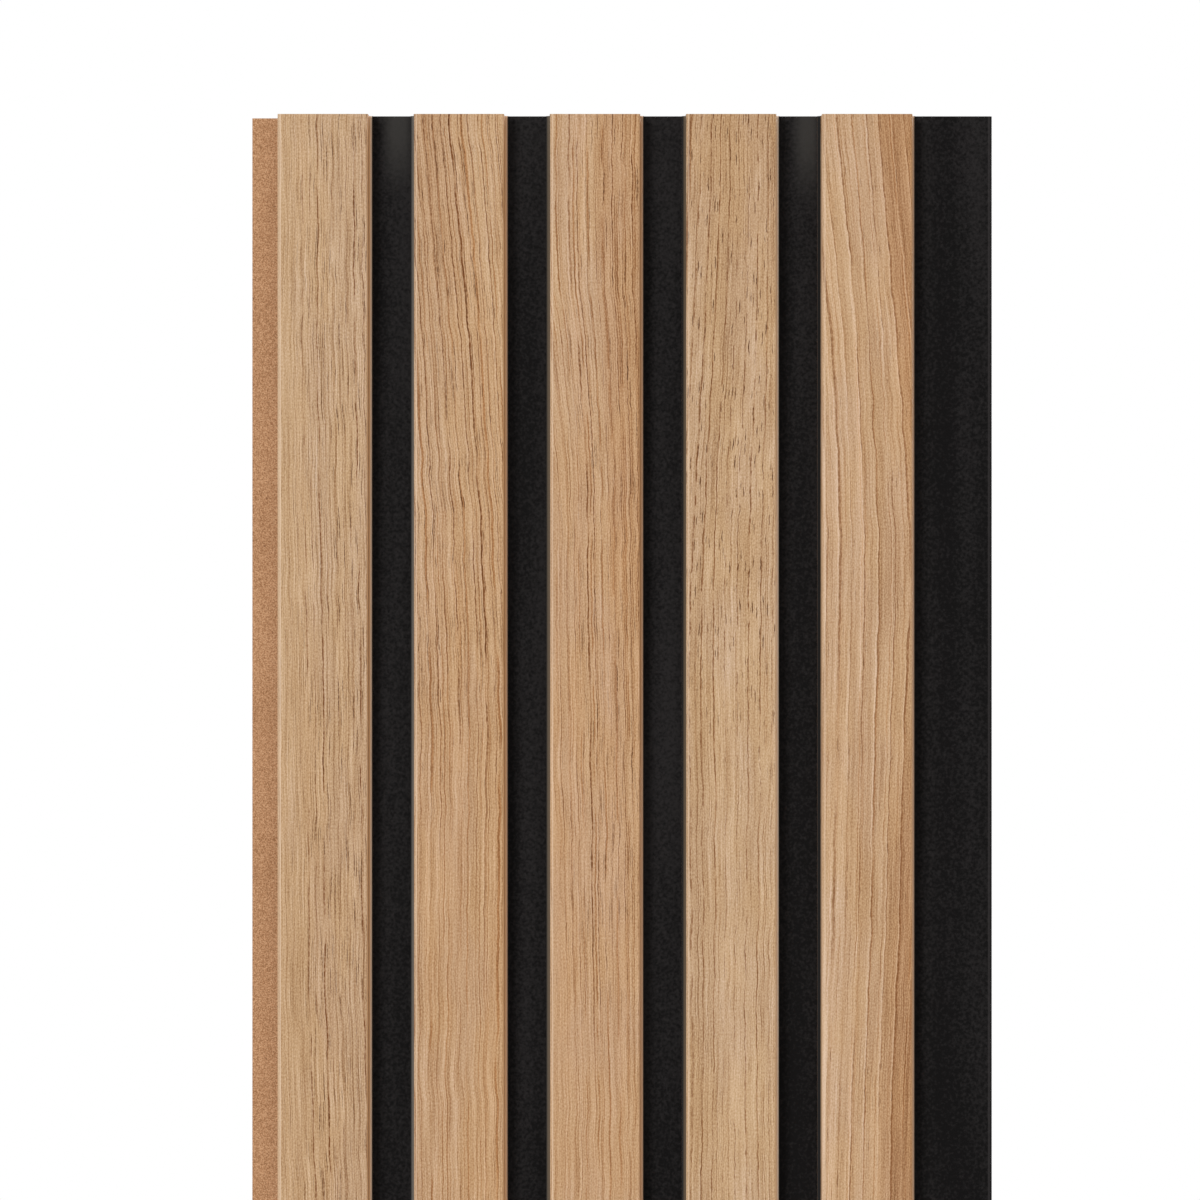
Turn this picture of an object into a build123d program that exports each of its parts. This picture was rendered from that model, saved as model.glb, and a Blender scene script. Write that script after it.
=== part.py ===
from build123d import *
import os

# A slat wall panel: five foil-wrapped slats glued on a black-faced MDF board with a ship-lap joint.
# Millimetres. X runs across the panel, its front faces -Y, and Z is up along the slats. The back,
# which lies on the wall, is the plane Y = 0, and the origin is at its mid height, behind the
# middle of the slats.

panel_length = 2600.0

# Slats, as they stand on the black face
slat_count = 5
slat_pitch = 40.0
slat_width = 26.6
slat_height = 5.0
slat_arris = 0.5        # radius of the two long front edges
foot_width = 1.1        # radius of the hollow that flares each wall out at its foot
foot_edge = 0.5         # height of the foot's outer edge
oak_foil = 0.25         # thickness of the decor foil that wraps a slat's core

# Board
board_thickness = 6.7
black_foil = 0.3        # thickness of the black facing

# Joint: the tongue of one panel goes under the first slat of the next, on top of its lip
lip_reach = 8.3         # how far the lip stands out from the first slat's wall
lip_thickness = 2.8
tongue_reach = 10.5     # how far the tongue goes under the next panel's first slat
tongue_arris = 0.8      # radius of the tongue's front edge, over the black foil
side_clearance = 0.3    # gap left across the joint when two panels are pushed together
depth_clearance = 0.2   # gap left behind the tongue
lead_in = 0.4           # chamfer on the edges that meet first

# Places across the panel. Joined panels repeat at the cover width, so the two edges are worked
# out from each other: what stands out on one side is what is cut away on the other.
cover_width = slat_count * slat_pitch
first_wall = -(slat_count - 1) * slat_pitch / 2 - slat_width / 2
lip_edge = first_wall - lip_reach
tongue_edge = first_wall + cover_width + tongue_reach
groove_bottom = tongue_edge - cover_width + side_clearance
back_rebate = lip_edge + cover_width - side_clearance

# Depths, from the wall forward
board_face = -board_thickness
black_face = board_face - black_foil
lip_face = -lip_thickness
tongue_back = lip_face - depth_clearance
foot_of_panel = -panel_length / 2

os.makedirs("parts", exist_ok=True)


def save(piece, name):
    """Labels a finished piece and writes it to its own file."""
    piece.part.label = name
    export_step(piece.part, f"parts/{name}.step")


def slat_section(base, skin, left_foot):
    """A slat's section under a skin, 0 for its outside: base on the plane's X axis, front to -Y."""
    front = skin - slat_height
    arris = slat_arris - skin
    spring = -(foot_edge + foot_width)
    with BuildSketch(base) as section:
        with BuildLine():
            for side, has_foot in ((-1, left_foot), (1, True)):
                wall = side * (slat_width / 2 - skin)
                if has_foot:
                    foot = side * (slat_width / 2 + foot_width)
                    Polyline((0, 0), (foot, 0), (foot, skin - foot_edge))
                    TangentArc((wall, spring), (foot, skin - foot_edge), tangent=(0, 1))
                    Line((wall, spring), (wall, front + arris))
                else:
                    Polyline((0, 0), (wall, 0), (wall, front + arris))
                TangentArc((wall, front + arris), (wall - side * arris, front), tangent=(0, -1))
                Line((wall - side * arris, front), (0, front))
        make_face()
    return section.sketch


# Base board: MDF, with the rebate for the tongue milled into the front of its left edge, which
# leaves the lip, and the rebate for the lip milled into the back of its right edge.
with BuildPart() as base_board:
    with BuildSketch(Plane.XY.offset(foot_of_panel)) as section:
        with BuildLine():
            Polyline(
                (lip_edge, 0),
                (back_rebate, 0),
                (back_rebate, tongue_back),
                (tongue_edge - black_foil, tongue_back),
                (tongue_edge - black_foil, board_face),
                (groove_bottom, board_face),
                (groove_bottom, lip_face),
                (lip_edge, lip_face),
                close=True,
            )
        make_face()
        tongue_end = section.vertices().group_by(Axis.X)[-1].sort_by(Axis.Y)
        lip_end = section.vertices().group_by(Axis.X)[0].sort_by(Axis.Y)
        fillet(tongue_end[0], tongue_arris - black_foil)
        chamfer([tongue_end[-1], lip_end[0]], lead_in)
    extrude(amount=panel_length)
save(base_board, "base_board")

# Black facing: a foil on the board's front face, from the groove's bottom to the tongue, where
# it turns over the rounded edge and down to the lead-in.
with BuildPart() as black_facing:
    with BuildSketch(Plane.XY.offset(foot_of_panel)) as section:
        with BuildLine():
            Polyline(
                (groove_bottom, board_face),
                (groove_bottom, black_face),
                (tongue_edge, black_face),
                (tongue_edge, tongue_back - lead_in),
                (tongue_edge - black_foil, tongue_back - lead_in),
                (tongue_edge - black_foil, board_face),
                close=True,
            )
        make_face()
        outside = section.vertices().group_by(Axis.X)[-1].sort_by(Axis.Y)[0]
        fillet(outside, tongue_arris)
        inside = section.vertices().group_by(Axis.X)[-2].sort_by(Axis.Y)[0]
        fillet(inside, tongue_arris - black_foil)
    extrude(amount=panel_length)
save(black_facing, "black_facing")

# Slats: an MDF core with an oak foil wrapped over its front and both walls, out to the edge of
# the foot. The joint is milled right up to the first slat, so it has no foot on the left, and it
# overhangs the groove that takes the tongue.
for number in range(1, slat_count + 1):
    middle = first_wall + slat_width / 2 + (number - 1) * slat_pitch
    base = Plane(origin=(middle, black_face, foot_of_panel), x_dir=(1, 0, 0), z_dir=(0, 0, 1))
    left_foot = number > 1

    with BuildPart() as slat_core:
        extrude(slat_section(base, oak_foil, left_foot), amount=panel_length)
    save(slat_core, f"slat_core_{number}")

    with BuildPart() as slat_foil:
        extrude(slat_section(base, 0, left_foot), amount=panel_length)
        add(slat_core.part, mode=Mode.SUBTRACT)
    save(slat_foil, f"slat_foil_{number}")
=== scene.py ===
import math

import bmesh
import bpy
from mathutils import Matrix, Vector


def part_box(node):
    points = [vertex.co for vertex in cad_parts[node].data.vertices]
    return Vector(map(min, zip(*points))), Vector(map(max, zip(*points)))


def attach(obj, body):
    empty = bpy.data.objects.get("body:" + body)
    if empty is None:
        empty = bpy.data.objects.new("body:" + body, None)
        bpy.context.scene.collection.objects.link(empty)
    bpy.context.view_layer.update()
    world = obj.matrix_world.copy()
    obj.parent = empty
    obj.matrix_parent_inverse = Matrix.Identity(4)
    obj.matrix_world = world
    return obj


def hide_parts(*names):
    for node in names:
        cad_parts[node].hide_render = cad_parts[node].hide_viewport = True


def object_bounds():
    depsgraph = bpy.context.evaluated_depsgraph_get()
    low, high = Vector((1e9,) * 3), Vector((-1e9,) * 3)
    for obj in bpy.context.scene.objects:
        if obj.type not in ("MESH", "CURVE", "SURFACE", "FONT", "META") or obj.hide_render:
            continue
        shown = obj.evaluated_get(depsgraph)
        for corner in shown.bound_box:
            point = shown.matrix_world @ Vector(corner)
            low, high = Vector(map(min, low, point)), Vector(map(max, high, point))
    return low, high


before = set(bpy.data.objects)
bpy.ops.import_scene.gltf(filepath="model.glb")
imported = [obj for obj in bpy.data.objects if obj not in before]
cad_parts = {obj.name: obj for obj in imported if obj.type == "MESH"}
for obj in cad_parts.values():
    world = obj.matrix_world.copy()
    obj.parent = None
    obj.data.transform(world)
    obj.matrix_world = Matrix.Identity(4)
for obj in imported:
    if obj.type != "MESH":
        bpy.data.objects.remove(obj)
cad_low, cad_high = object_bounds()

MM = 0.001
PANEL_TOP = cad_high.z
PANEL_FOOT = cad_low.z


# Base board. Medium-density fibreboard, milled to a ship-lap on both long edges and left bare: its
# lip shows beside the first slat, and its back and cut ends show from the other sides.

class Wire:
    """A socket in a material. Sums on it add Math nodes, and node() adds any other node."""

    def __init__(self, socket):
        self.socket = socket
        self.tree = socket.id_data

    def node(self, kind, settings=None, inputs=None, output=0):
        node = self.tree.nodes.new("ShaderNode" + kind)
        for name, value in (settings or {}).items():
            if name == "stops":
                set_stops(node.color_ramp, value)
            else:
                setattr(node, name, value)
        for name, value in (inputs or {}).items():
            socket = named_socket(node.inputs, name)
            if isinstance(value, Wire):
                self.tree.links.new(value.socket, socket)
            else:
                socket.default_value = value
        return Wire(named_socket(node.outputs, output))

    def sum(self, operation, a, b=0.0, c=0.0):
        return self.node("Math", {"operation": operation}, {0: a, 1: b, 2: c})

    def __add__(self, other):
        return self.sum("ADD", self, other)

    def __radd__(self, other):
        return self.sum("ADD", other, self)

    def __sub__(self, other):
        return self.sum("SUBTRACT", self, other)

    def __rsub__(self, other):
        return self.sum("SUBTRACT", other, self)

    def __mul__(self, other):
        return self.sum("MULTIPLY", self, other)

    def __rmul__(self, other):
        return self.sum("MULTIPLY", other, self)

    def __truediv__(self, other):
        return self.sum("DIVIDE", self, other)

    def between(self, low, high):
        """A smooth step from 0 at low to 1 at high. Low may be the greater, for a step down."""
        if low > high:
            return 1 - self.between(high, low)
        settings = {"interpolation_type": "SMOOTHSTEP"}
        inputs = {"Value": self, "From Min": low, "From Max": high}
        return self.node("MapRange", settings, inputs, "Result")

    def mixed(self, low, high):
        """The colour low where this is 0 and high where it is 1."""
        return self.node("Mix", {"data_type": "RGBA"}, {"Factor": self, "A": low, "B": high}, "Result")


def named_socket(sockets, name):
    """A node's socket by its place or its name, where only the one in use counts."""
    if isinstance(name, int):
        return sockets[name]
    return next(s for s in sockets if s.name == name and s.enabled)


def set_stops(ramp, stops):
    """Gives a colour ramp these (place, colour) stops."""
    while len(ramp.elements) < len(stops):
        ramp.elements.new(1.0)
    for element, (place, colour) in zip(ramp.elements, stops):
        element.position = place
        element.color = colour


def colour(red, green, blue):
    """A linear colour from the 0 to 255 values of a screen."""
    def linear(value):
        share = value / 255
        return share / 12.92 if share <= 0.04045 else ((share + 0.055) / 1.055) ** 2.4
    return (linear(red), linear(green), linear(blue), 1.0)


def new_finish(name):
    """An empty material, with its surface's place on the panel in millimetres."""
    material = bpy.data.materials.new(name)
    material.use_nodes = True
    tree = material.node_tree
    tree.nodes.clear()
    place = Wire(tree.nodes.new("ShaderNodeTexCoord").outputs["Object"])
    return material, place.node("VectorMath", {"operation": "SCALE"}, {0: place, "Scale": 1 / MM})


def close_finish(material, place, look, relief=None, relief_depth=0.0, **fixed):
    """Ends a material in a Principled shader, with its relief as a bump where one is given."""
    inputs = dict(look)
    if relief is not None:
        bump = {"Height": relief, "Distance": relief_depth}
        inputs["Normal"] = place.node("Bump", None, bump)
    shader = place.node("BsdfPrincipled", None, inputs)
    for name, value in fixed.items():
        shader.socket.node.inputs[name.replace("_", " ")].default_value = value
    output = place.tree.nodes.new("ShaderNodeOutputMaterial")
    place.tree.links.new(shader.socket, output.inputs["Surface"])
    return material


def axes(place):
    """A place's three coordinates."""
    split = place.node("SeparateXYZ", None, {0: place})
    node = split.socket.node
    return [Wire(node.outputs[i]) for i in range(3)]


def flat_place(place, across, along):
    """A point for a two-dimensional texture."""
    return place.node("CombineXYZ", None, {0: across, 1: along})


MDF_TONES = [(0.0, colour(140, 97, 62)), (0.5, colour(178, 132, 95)), (1.0, colour(211, 167, 128))]
MDF_SPECK = colour(112, 72, 44)
FELT_RELIEF = 0.00005


def fibreboard():
    """Bare MDF: fine felted fibre, small dark and pale specks, and a slight drift of tone."""
    material, place = new_finish("bare_mdf")
    fine = {"Vector": place, "Scale": 2.6, "Detail": 2.0, "Roughness": 0.7}
    felt = place.node("TexNoise", None, fine)
    drift = place.node("TexNoise", None, {"Vector": place, "Scale": 0.03, "Detail": 2.0})
    tone = 0.5 + (felt - 0.5) * 2.8 + (drift - 0.5) * 0.4
    board = place.node("ValToRGB", {"stops": MDF_TONES}, {"Fac": tone})
    speck = place.node("TexVoronoi", None, {"Vector": place, "Scale": 0.35}, "Distance")
    patchy = place.node("TexNoise", None, {"Vector": place, "Scale": 0.6, "Detail": 1.0})
    dark = speck.between(0.16, 0.08) * patchy.between(0.5, 0.6)
    bare = (dark * 0.6).mixed(board, MDF_SPECK)
    return close_finish(material, place, {"Base Color": bare, "Roughness": 0.85},
                        felt, FELT_RELIEF, Specular_IOR_Level=0.25)


bare_mdf = fibreboard()
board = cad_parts["base_board"]
board.data.materials.clear()
board.data.materials.append(bare_mdf)


# Black facing. A thin black foil pressed on the board's front face and turned over the tongue's
# rounded edge. It is satin, with a fine leathery emboss.

BLACK_FOIL = 0.3 * MM
TONGUE_ARRIS = 0.8 * MM
FOIL_EMBOSS = 0.00005
FOIL_DARK = colour(19, 18, 18)
FOIL_PALE = colour(38, 36, 36)
PALE_PATCH_GREY = colour(58, 56, 54)
TONGUE_HIGHLIGHT_GREY = colour(62, 59, 59)
ARC_STEPS = 8
ARC_SIDE = 0.3 * MM     # a side of a section that is shorter than this belongs to an arc


def arc(centre_x, centre_y, radius, start, end):
    """Points on an arc from one angle to another, in degrees."""
    turns = [math.radians(start + (end - start) * i / ARC_STEPS) for i in range(ARC_STEPS + 1)]
    return [(centre_x + radius * math.cos(t), centre_y + radius * math.sin(t)) for t in turns]


def moulding(name, outline, material, node):
    """A length of moulding, whose section runs the whole height of the panel."""
    mesh = bpy.data.meshes.new(name)
    build = bmesh.new()
    rings = [[build.verts.new((x, y, z)) for x, y in outline] for z in (PANEL_FOOT, PANEL_TOP)]
    count = len(outline)
    for i in range(count):
        following = (i + 1) % count
        side = build.faces.new((rings[0][i], rings[0][following], rings[1][following], rings[1][i]))
        side.smooth = (rings[0][i].co - rings[0][following].co).length < ARC_SIDE
    for ring in rings:
        build.faces.new(ring)
    bmesh.ops.recalc_face_normals(build, faces=build.faces)
    build.to_mesh(mesh)
    build.free()
    mesh.materials.append(material)
    piece = bpy.data.objects.new(name, mesh)
    bpy.context.scene.collection.objects.link(piece)
    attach(piece, "root")
    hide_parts(node)


def satin_black():
    """Near-black, with a fine leathery emboss and two faint paler patches at the top; painted light at
    the top, painted shade on the right side, and a painted highlight along the tongue's curved edge.
    """
    material, place = new_finish("satin_black_foil")
    x, y, z = axes(place)
    down = PANEL_TOP / MM - z
    # Painted light makes the foil lighter towards the top, and painted shade darkens its right side.
    lit_top = down.between(60, 0) * 0.22
    painted_shade_right = x.between(30, 50) * 0.2
    grained = {"Vector": place, "Scale": 1.1, "Detail": 2.0, "Roughness": 0.6}
    emboss = place.node("TexNoise", None, grained)
    cloud = place.node("TexNoise", {"noise_dimensions": "2D"},
                       {"Vector": flat_place(place, x / 9, down / 130), "Scale": 1.0, "Detail": 1.0})
    tone = 0.44 + (emboss - 0.5) * 2.7 + (cloud - 0.5) * 1.1 + lit_top - painted_shade_right
    # Two faint paler patches near the top of the first and fourth grooves.
    pale_patches = x.between(-64, -59) * x.between(-53, -56.5) * down.between(26, 3)
    pale_patches = pale_patches + x.between(57, 62) * x.between(67, 64) * down.between(30, 4)
    black = tone.mixed(FOIL_DARK, FOIL_PALE)
    black = (pale_patches * 0.8).mixed(black, PALE_PATCH_GREY)
    # A painted highlight along the tongue's curved edge.
    tongue_highlight = x.between(115.8, 116.2) * x.between(116.9, 116.5)
    black = (tongue_highlight * 0.45).mixed(black, TONGUE_HIGHLIGHT_GREY)
    rough = 0.5 + (cloud - 0.5) * 0.16
    return close_finish(material, place, {"Base Color": black, "Roughness": rough},
                        emboss, FOIL_EMBOSS, Specular_IOR_Level=0.02)


low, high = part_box("black_facing")
inner = TONGUE_ARRIS - BLACK_FOIL
board_face = low.y + BLACK_FOIL
corner = (high.x - TONGUE_ARRIS, low.y + TONGUE_ARRIS)
facing_outline = (
    [(low.x, board_face), (low.x, low.y)]
    + arc(*corner, TONGUE_ARRIS, -90, 0)
    + [(high.x, high.y), (high.x - BLACK_FOIL, high.y)]
    + arc(*corner, inner, 0, -90)
)
black_foil = satin_black()
moulding("black_skin", facing_outline, black_foil, "black_facing")
BLACK_FACE = low.y


# Slats. Each is an MDF strip wrapped in a decor foil printed and embossed as oak, over its front
# and walls and down into the hollow that flares out at its foot. They are glued on the facing.

SLAT_HEIGHT = 5.0 * MM
SLAT_ARRIS = 0.5 * MM
FOOT_WIDTH = 1.1 * MM
FOOT_EDGE = 0.5 * MM
OAK_FOIL = 0.25 * MM
OAK_EMBOSS = 0.00002


def slat_outline(left_wall, right_wall, skin, left_foot):
    """A slat's section under a skin, from its base's left end round to its right end."""
    front = BLACK_FACE - SLAT_HEIGHT + skin
    arris = SLAT_ARRIS - skin
    spring = BLACK_FACE - FOOT_EDGE - FOOT_WIDTH
    left, right = left_wall + skin, right_wall - skin
    points = [(left, BLACK_FACE)]
    if left_foot:
        foot = left_wall - FOOT_WIDTH
        points = [(foot, BLACK_FACE)] + arc(foot, spring, FOOT_WIDTH + skin, 90, 0)
    points += arc(left + arris, front + arris, arris, 180, 270)
    points += arc(right - arris, front + arris, arris, 270, 360)
    foot = right_wall + FOOT_WIDTH
    return points + arc(foot, spring, FOOT_WIDTH + skin, 180, 90) + [(foot, BLACK_FACE)]


def soft_noise(place, across, along, detail=0.0, roughness=0.5):
    """Noise over a surface, about 0.5; one unit across or along is about one blotch."""
    inputs = {"Vector": flat_place(place, across, along), "Scale": 1.0, "Detail": detail,
              "Roughness": roughness}
    return place.node("TexNoise", {"noise_dimensions": "2D"}, inputs)


def soft_noise_along(place, along):
    """The same along one line."""
    return place.node("TexNoise", {"noise_dimensions": "1D"}, {"W": along})


def dashes(place, across, along, size):
    """Long thin pores of uneven size, at most one to a unit cell: 1 on a pore."""
    soft_edge = 0.05
    cell = place.node("TexVoronoi", {"voronoi_dimensions": "2D"},
                      {"Vector": flat_place(place, across, along), "Scale": 1.0}, "Distance")
    chance = Wire(cell.socket.node.outputs["Color"])
    chance = chance.node("SeparateColor", None, {0: chance})
    return (cell + chance * size).between(size + soft_edge, size)


HALF_SLAT = 13.3        # from here on, lengths inside the oak's material are in millimetres
UNEVEN_RINGS = 1.8      # how far the rings crowd and part


def oak_course(place, across, down, number, grain):
    """How far across the grain a point lies: its lines lean, wander, spread and ripple on the slat."""
    lean = 0.0
    for start, end, amount in grain["leans"]:
        less_to_the_right = amount * grain["fan"] / HALF_SLAT
        lean = down.between(start, end) * (amount - across * less_to_the_right) + lean
    wander = soft_noise_along(place, down / 80 + number * 7.3)
    spread = soft_noise(place, across / 16 + number * 3.7, down / 110)
    ripple = soft_noise(place, across / 4 + number, down / 9)
    crook = soft_noise(place, across / 1.3 + number, down / 2.4, 1.0)
    return (across - lean - (wander - 0.5) * grain["wander"] - (spread - 0.5) * grain["spread"]
            - (ripple - 0.5) * grain["ripple"] - (crook - 0.5) * grain["crook"])


def grain_lines(place, course, down, seed, spacing, width, length, gaps):
    """Lines that follow the course: the place from one line to the next, and the thin broken lines."""
    uneven = soft_noise_along(place, course / 8 + seed)
    ring = (course + (uneven - 0.5) * UNEVEN_RINGS) / spacing
    saw = place.sum("FRACT", ring)
    broken = soft_noise(place, ring * 0.8 + seed, down / length, 2.0, 0.6)
    broken = broken.between(gaps - 0.08, gaps + 0.08)
    return saw, saw.between(1.1 * width / spacing, 0.8 * width / spacing) * broken


def multiplied(colour_a, colour_b):
    """Two colours multiplied, as a print over another."""
    return colour_a.node("Mix", {"data_type": "RGBA", "blend_type": "MULTIPLY"},
                         {"Factor": 1.0, "A": colour_a, "B": colour_b}, "Result")


OAK_TONES = [(0.0, 130, 90, 54), (0.25, 162, 121, 84), (0.5, 188, 150, 112), (0.75, 205, 171, 138),
             (1.0, 220, 188, 160)]
YELLOWER = (1.01, 1.0, 0.965, 1.0)
PINKER = (0.993, 0.999, 1.035, 1.0)
REDDER = (0.92, 0.76, 0.60, 1.0)
LINE_BROWN = colour(108, 58, 12)
PORE_BROWN = colour(84, 44, 4)
CALM_PORES = 0.75       # share of the pores that is gone where a slat's grain is calm
SPECKLE = 0.65
SEED_STEP = 31.7        # sets each slat's noise far from the next one's


def oak_print(place, across, down, number, grain):
    """The oak's colour, with the fibre, pores and lines that are embossed in it."""
    seed = number * SEED_STEP
    course = oak_course(place, across, down, number, grain)
    saw, line = grain_lines(place, course, down, seed, *grain["rings"])
    _, hair = grain_lines(place, course, down, seed + 5, *grain["hairs"])

    fibre = soft_noise(place, course * grain["fineness"] + seed, down / 30, 2.0, 0.7)
    streak = soft_noise(place, course * 0.8 + seed, down / 80, 2.0, 0.6)
    broad = soft_noise(place, course * 0.14 + seed, down / 140, 1.0)
    speckle = soft_noise(place, across * 2.7, down * 1.6 + seed, 1.0)
    fleck = soft_noise(place, across * 0.30 + down * 0.07, down * 0.05 + seed, 1.0).between(0.5, 0.75)

    pores = 0.0
    for gap, step, size in grain["pores"]:
        dash = dashes(place, course / gap + seed, down / step + gap * seed, size)
        pores = place.sum("MAXIMUM", dash, pores)
    early = saw.between(0.55, 0.1) * grain["clustered"] + (1 - grain["clustered"])
    rich = (streak * 0.5 + broad * 0.5).between(*grain["rich"])
    gather = 0.3 + across.between(*grain["gather"]) * 0.7
    dotted = 0.5 + soft_noise(place, across * 0.9 + seed, down / 1.5, 1.0).between(0.38, 0.56) * 0.5
    below = down.between(*grain["calm"])
    lively = 1 - below * CALM_PORES
    pores = pores * early * rich * gather * dotted * lively
    line = line * gather * dotted * (1 - below * grain["hush"])

    # A painted highlight beside each ring line, where an embossed rise would catch the light.
    ridge_highlight = saw.between(0.85, 0.95) * streak.between(0.42, 0.54)
    tone = (0.5 + (fibre - 0.5) * grain["fibre"] + (streak - 0.5) * grain["streak"]
            + (broad - 0.5) * grain["broad"] + (speckle - 0.5) * SPECKLE
            + fleck * grain["fleck"] * lively + (saw - 0.5) * grain["shade"]
            + ridge_highlight * grain["ridge_highlight"] - hair * grain["hair"] + grain["light"])
    warm = (pores * 0.5 + line * 0.4 + hair * grain["red"]
            + (broad.between(0.4, 0.7) + saw.between(0.35, 0.0)) * grain["warmth"])
    for from_course, to_course, from_down, to_down, light, heat in grain["washes"]:
        wash = course.between(from_course, to_course) * down.between(from_down, to_down)
        tone = tone + wash * light
        warm = warm + wash * heat

    more_green, more_blue = grain["tint"]
    stops = [(at, colour(red, green + more_green, blue + more_blue))
             for at, red, green, blue in OAK_TONES]
    wood = place.node("ValToRGB", {"stops": stops}, {"Fac": tone})
    cast = soft_noise(place, across / 9 + seed, down / 40, 1.0) + across * grain["cast"]
    wood = multiplied(wood, cast.between(0.35, 0.65).mixed(YELLOWER, PINKER))
    wood = warm.mixed(wood, multiplied(wood, REDDER))
    wood = (line * grain["line"]).mixed(wood, LINE_BROWN)
    wood = (pores * grain["pore_dark"]).mixed(wood, PORE_BROWN)
    return wood, fibre, pores, line


ARRIS_HIGHLIGHT_CREAM = colour(230, 203, 176)
FOOT_SHADE = colour(40, 28, 20)
LAP_BLACK = colour(22, 22, 22)
ARRIS_HIGHLIGHT_AT = (12.2, 12.45)
WALL_LIGHT_AT = (12.9, 13.3)
FOOT_LIGHT_AT = (13.55, 13.8)
FOOT_SHADE_AT = (14.0, 14.25)


def edge_light_and_lap(wood, x, left_foot, grain):
    """Painted light at a slat's edges, by distance from its middle: a painted highlight on the left
    arris, the black print lapped over the left foot and painted greyer as its sheen, painted light on
    the right side and foot, and painted shade at the foot's end. Its arrises start at 12.8, its walls
    are at 13.3, and its feet end at 14.4."""
    left = x * -1
    # A painted highlight along the left arris, which faces the key light.
    arris_highlight = (left.between(*ARRIS_HIGHLIGHT_AT) * grain["highlight_band"]
               + left.between(12.75, 12.45) * left.between(12.2, 12.4) * 0.4)
    wood = (arris_highlight * left.between(13.4, 13.1)).mixed(wood, ARRIS_HIGHLIGHT_CREAM)
    # The black print laps over the left foot; near the slat it is painted greyer, as the black's
    # sheen.
    if left_foot:
        lap_start, lap_full, lap_fade, lap_end = grain["lap_at"]
        lap = left.between(lap_fade, lap_end).mixed(colour(*grain["lap"]), LAP_BLACK)
        wood = left.between(lap_start, lap_full).mixed(wood, lap)
    # Painted light on the shaded right side and right foot, and painted shade at the foot's end.
    wood = (x.between(*WALL_LIGHT_AT) * 0.8).mixed(wood, colour(*grain["wall"]))
    wood = (x.between(*FOOT_LIGHT_AT) * 0.9).mixed(wood, colour(*grain["foot"]))
    return x.between(*FOOT_SHADE_AT).mixed(wood, FOOT_SHADE)


def oak_foil(number, middle, front, grain):
    """The decor foil of one slat, whose print runs on over its arrises and down its walls."""
    material, place = new_finish(f"oak_foil_{number}")
    x, y, z = axes(place)
    x = x - middle / MM
    across = x + place.sum("SIGN", x) * (y - front / MM)
    down = PANEL_TOP / MM - z
    wood, fibre, pores, line = oak_print(place, across, down, number, grain)
    wood = edge_light_and_lap(wood, x, number > 1, grain)
    relief = fibre * 0.3 - pores - line * 0.7
    rough = 0.52 + (fibre - 0.5) * 0.2
    return close_finish(material, place, {"Base Color": wood, "Roughness": rough},
                        relief, OAK_EMBOSS, Specular_IOR_Level=0.2)


# How each slat's oak grows, in millimetres, with heights down from the panel's top.
# leans are (from, to, how far aside), and fan makes the right side lean less.
# wander, spread, ripple and crook are how far the lines drift, from the slowest drift to the quickest.
# rings and hairs are (spacing, width, length, gaps) of the dark lines and of the fine ones.
# pores are (gap, step, size) of each kind of dash, and clustered keeps them to the early wood.
# rich and gather say where dashes are many, by tone and across; they are few below calm.
# hush is the share of the lines that is gone below calm.
# washes are (course from, to, down from, to, lighter, warmer).
# The lap colour is the black print lapped over the left foot, painted greyer as its sheen; the wall
# and foot colours are painted light on the right side and the right foot.
# The others are strengths and tints, with nought for none.

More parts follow.
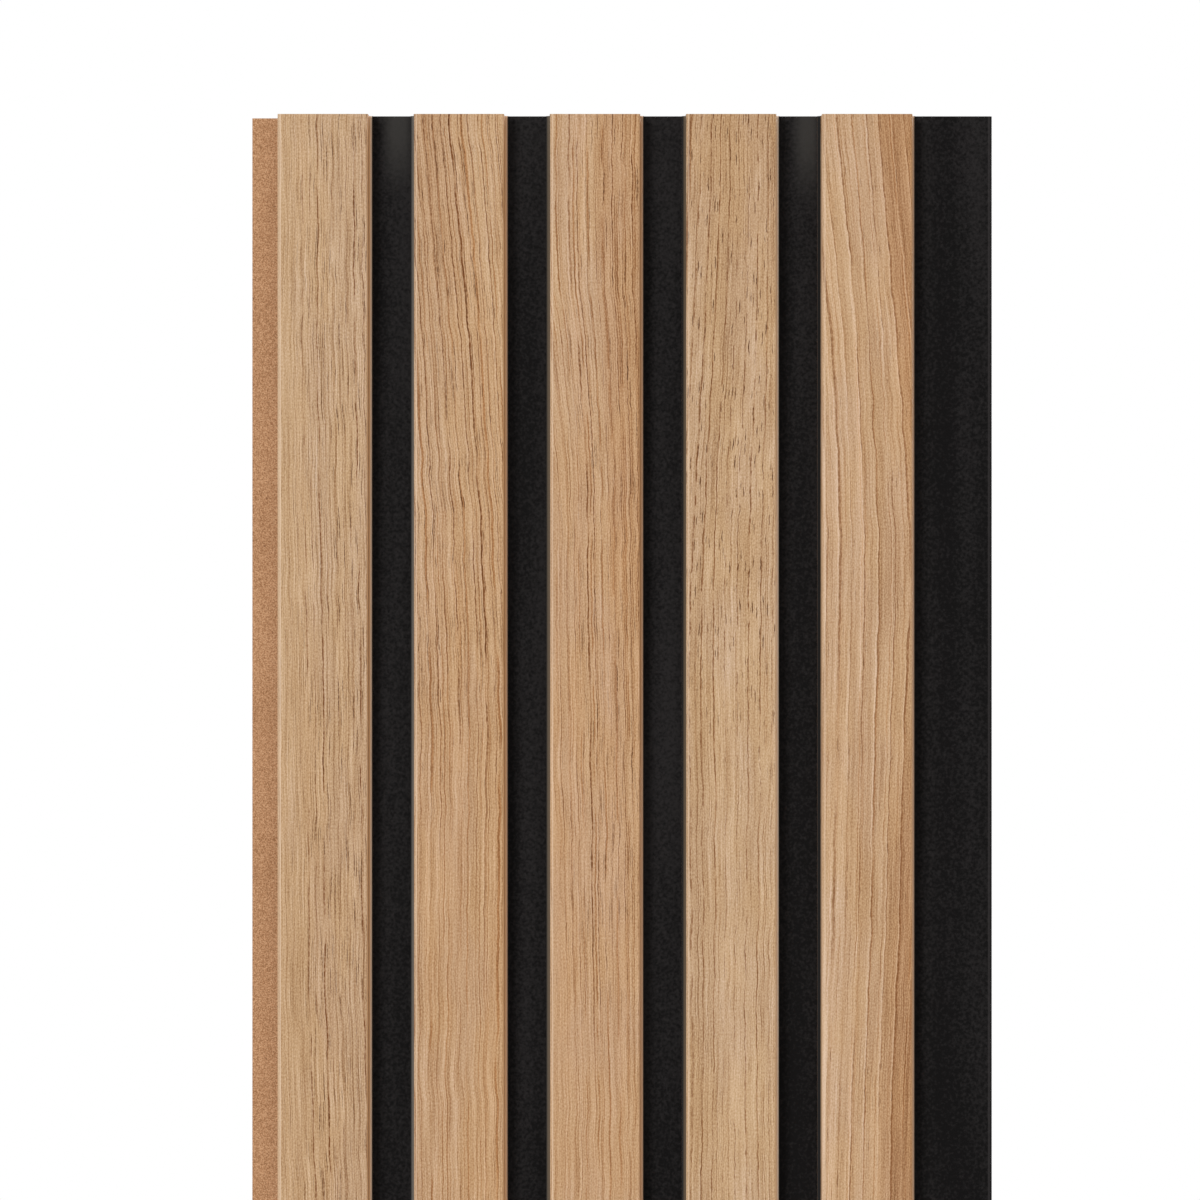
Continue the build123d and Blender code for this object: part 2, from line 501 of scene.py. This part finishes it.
WHOLE_WIDTH = (-41, -40)
OAK = {"fan": 0.0, "ridge_highlight": 0.0, "fleck": 0.0, "pore_dark": 1.0, "clustered": 0.0,
       "gather": WHOLE_WIDTH, "calm": (500, 900), "hush": 0.75, "cast": 0.0,
       "lap_at": (13.05, 13.3, 13.8, 14.4), "wall": (255, 190, 132)}
GRAINS = [
    # Fine, straight and pale, with thin dark dashes gathered to the right
    dict(OAK, leans=[(-60, 330, 3.0), (240, 420, 4.0)],
         wander=1.2, spread=1.0, ripple=0.08, crook=0.09,
         rings=(2.2, 0.22, 22, 0.47), hairs=(0.9, 0.16, 30, 0.47), line=1.0, hair=0.26,
         shade=0.02, light=0.06, fineness=5.2, fibre=1.35, streak=0.25, broad=0.12,
         pores=[(0.55, 24, 0.19)], rich=(0.36, 0.48), gather=(-12, 3),
         red=0.0, warmth=0.08, tint=(4, 5), cast=0.02,
         washes=[(*WHOLE_WIDTH, 90, 220, -0.04, 0.08)], foot=(255, 226, 196), highlight_band=0.28),
    # Warm, leaning at the top, where it is darkest and full of dashes, and plain low down
    dict(OAK, leans=[(-120, 190, 16.0)],
         wander=1.4, spread=2.4, ripple=0.26, crook=0.30,
         rings=(2.7, 0.26, 30, 0.43), hairs=(1.2, 0.18, 40, 0.44), line=0.95, hair=0.26,
         shade=0.08, ridge_highlight=0.06, light=0.06, fineness=3.3, fibre=0.9, streak=0.35, broad=0.15,
         pores=[(0.6, 36, 0.20), (0.9, 16, 0.12)], clustered=0.5, rich=(0.36, 0.50),
         calm=(150, 230), red=0.9, warmth=0.16, tint=(2, 2), cast=-0.012,
         washes=[(-3, -16, 110, 0, -0.12, 0.1), (*WHOLE_WIDTH, 40, 160, -0.03, 0.15)],
         lap=(97, 92, 86), foot=(250, 206, 168), highlight_band=0.12),
    # Warmest, with lines that bend over to the right, more on its left side than its right
    dict(OAK, leans=[(30, 120, 5.5), (120, 300, 3.0)], fan=0.8,
         wander=1.6, spread=2.6, ripple=0.26, crook=0.38,
         rings=(2.9, 0.27, 26, 0.43), hairs=(1.2, 0.18, 26, 0.46), line=1.0, hair=0.30,
         shade=0.10, ridge_highlight=0.06, light=0.07, fineness=3.2, fibre=0.8, streak=0.3, broad=0.2,
         pores=[(0.8, 24, 0.20)], clustered=0.4, rich=(0.36, 0.48), gather=(-14, 2),
         calm=(220, 300), red=0.7, warmth=0.16, tint=(2, 3),
         washes=[(-2, 3, 240, 40, -0.08, 0.3), (*WHOLE_WIDTH, 50, 130, -0.02, 0.20)],
         lap=(94, 82, 68), wall=(224, 164, 114), foot=(245, 202, 164), highlight_band=0.12),
    # Short dashes all over its upper half, with thin long lines below
    dict(OAK, leans=[(-40, 170, -4.5)], fan=0.5,
         wander=1.0, spread=1.8, ripple=0.16, crook=0.30,
         rings=(2.8, 0.26, 7, 0.47), hairs=(1.4, 0.16, 30, 0.45), line=0.9, hair=0.32,
         shade=0.0, light=-0.01, fineness=3.6, fibre=0.9, streak=0.26, broad=0.25, fleck=0.08,
         pores=[(0.9, 14, 0.13)], rich=(0.30, 0.42), calm=(130, 220), hush=0.30,
         red=0.5, warmth=0.04, tint=(4, 5),
         washes=[(*WHOLE_WIDTH, 70, 10, -0.04, 0.10), (-4, 10, 70, 220, 0.08, 0.0)],
         lap=(94, 80, 64), lap_at=(13.1, 13.35, 13.55, 14.15),
         wall=(255, 206, 158), foot=(255, 232, 208), highlight_band=0.08),
    # Plain, with long reddish lines far apart, a painted highlight beside each, and a darker right
    # side
    dict(OAK, leans=[(-60, 135, 12.0), (130, 330, -5.0)],
         wander=1.0, spread=2.6, ripple=0.26, crook=0.34,
         rings=(4.0, 0.21, 60, 0.44), hairs=(1.6, 0.16, 30, 0.46), line=0.60, hair=0.20,
         shade=0.14, ridge_highlight=0.16, light=0.008, fineness=3.2, fibre=0.75, streak=0.4, broad=0.3,
         pores=[(0.9, 20, 0.09)], pore_dark=0.8, clustered=0.5, rich=(0.4, 0.5),
         red=0.8, warmth=0.10, tint=(2, 3),
         washes=[(-3, -16, 300, 60, 0.06, 0.0), (-2, 2, 150, 70, -0.14, 0.5),
                 (-6, 2, 150, 240, -0.18, 0.45), (-15, -18, 150, 240, 0.12, 0.0)],
         lap=(20, 19, 18), lap_at=(13.35, 13.5, 13.8, 14.4),
         wall=(255, 200, 150), foot=(225, 190, 160), highlight_band=0.14),
]

for number, grain in enumerate(GRAINS, start=1):
    low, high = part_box(f"slat_foil_{number}")
    left_foot = number > 1
    left_wall = low.x + FOOT_WIDTH if left_foot else low.x
    right_wall = high.x - FOOT_WIDTH
    middle = (left_wall + right_wall) / 2
    outside = slat_outline(left_wall, right_wall, 0.0, left_foot)
    inside = slat_outline(left_wall, right_wall, OAK_FOIL, left_foot)
    wrap = outside[1:-1] + inside[-2:0:-1] if left_foot else outside[:-1] + inside[-2::-1]
    printed = oak_foil(number, middle, low.y, grain)
    moulding(f"oak_wrap_{number}", wrap, printed, f"slat_foil_{number}")
    moulding(f"slat_strip_{number}", inside, bare_mdf, f"slat_core_{number}")


# Studio. A pale floor under the panel's foot, white all round to the camera, one soft key light
# from the upper left and weaker ones from the right and behind.

FLOOR_RADIUS = 6.0
FLOOR_GREY = colour(236, 236, 234)
bpy.ops.mesh.primitive_circle_add(vertices=96, radius=FLOOR_RADIUS, fill_type="NGON",
                                  location=(0, 0, PANEL_FOOT))
floor = bpy.context.object
floor.name = "floor"
floor_paint, place = new_finish("floor_paint")
close_finish(floor_paint, place, {"Base Color": FLOOR_GREY, "Roughness": 0.9})
floor.data.materials.append(floor_paint)

AMBIENT = 0.35
world = bpy.data.worlds.new("studio")
bpy.context.scene.world = world
world.use_nodes = True
world.node_tree.nodes.clear()
ray = Wire(world.node_tree.nodes.new("ShaderNodeLightPath").outputs["Is Camera Ray"])
seen = ray.sum("MAXIMUM", ray, Wire(ray.socket.node.outputs["Is Glossy Ray"]))
seen = ray.sum("MAXIMUM", seen, Wire(ray.socket.node.outputs["Is Transmission Ray"]))
strength = AMBIENT + seen * (1 - AMBIENT)
sky = ray.node("Background", None, {"Color": (1, 1, 1, 1), "Strength": strength})
world_output = world.node_tree.nodes.new("ShaderNodeOutputWorld")
world.node_tree.links.new(sky.socket, world_output.inputs["Surface"])


def sun(name, strength, softness, direction):
    """A soft distant lamp that shines along direction."""
    lamp = bpy.data.lights.new(name, "SUN")
    lamp.energy = strength
    lamp.angle = math.radians(softness)
    holder = bpy.data.objects.new(name, lamp)
    holder.rotation_euler = Vector(direction).to_track_quat("-Z", "Y").to_euler()
    bpy.context.scene.collection.objects.link(holder)


sun("key", 2.4, 22, (0.80, 1.0, -0.40))
sun("fill", 0.25, 40, (-0.7, 1.0, -0.2))
sun("rim", 1.2, 30, (-0.3, -1.0, -0.5))


# Camera. It looks square on at the top of the panel from about a metre, as a product photograph
# does, with the panel running out of the bottom of the frame.

DISTANCE = 1.0
FRAME_WIDTH = 352.5 * MM
AIM_ACROSS = 1.46 * MM
AIM_BELOW_TOP = 142.79 * MM
camera_data = bpy.data.cameras.new("camera")
camera_data.sensor_width = 36.0
camera_data.lens = camera_data.sensor_width * DISTANCE / FRAME_WIDTH
camera = bpy.data.objects.new("camera", camera_data)
camera.location = (AIM_ACROSS, cad_low.y - DISTANCE, PANEL_TOP - AIM_BELOW_TOP)
camera.rotation_euler = (math.radians(90), 0, 0)
bpy.context.scene.collection.objects.link(camera)
bpy.context.scene.camera = camera
bpy.context.scene.view_settings.view_transform = "Standard"
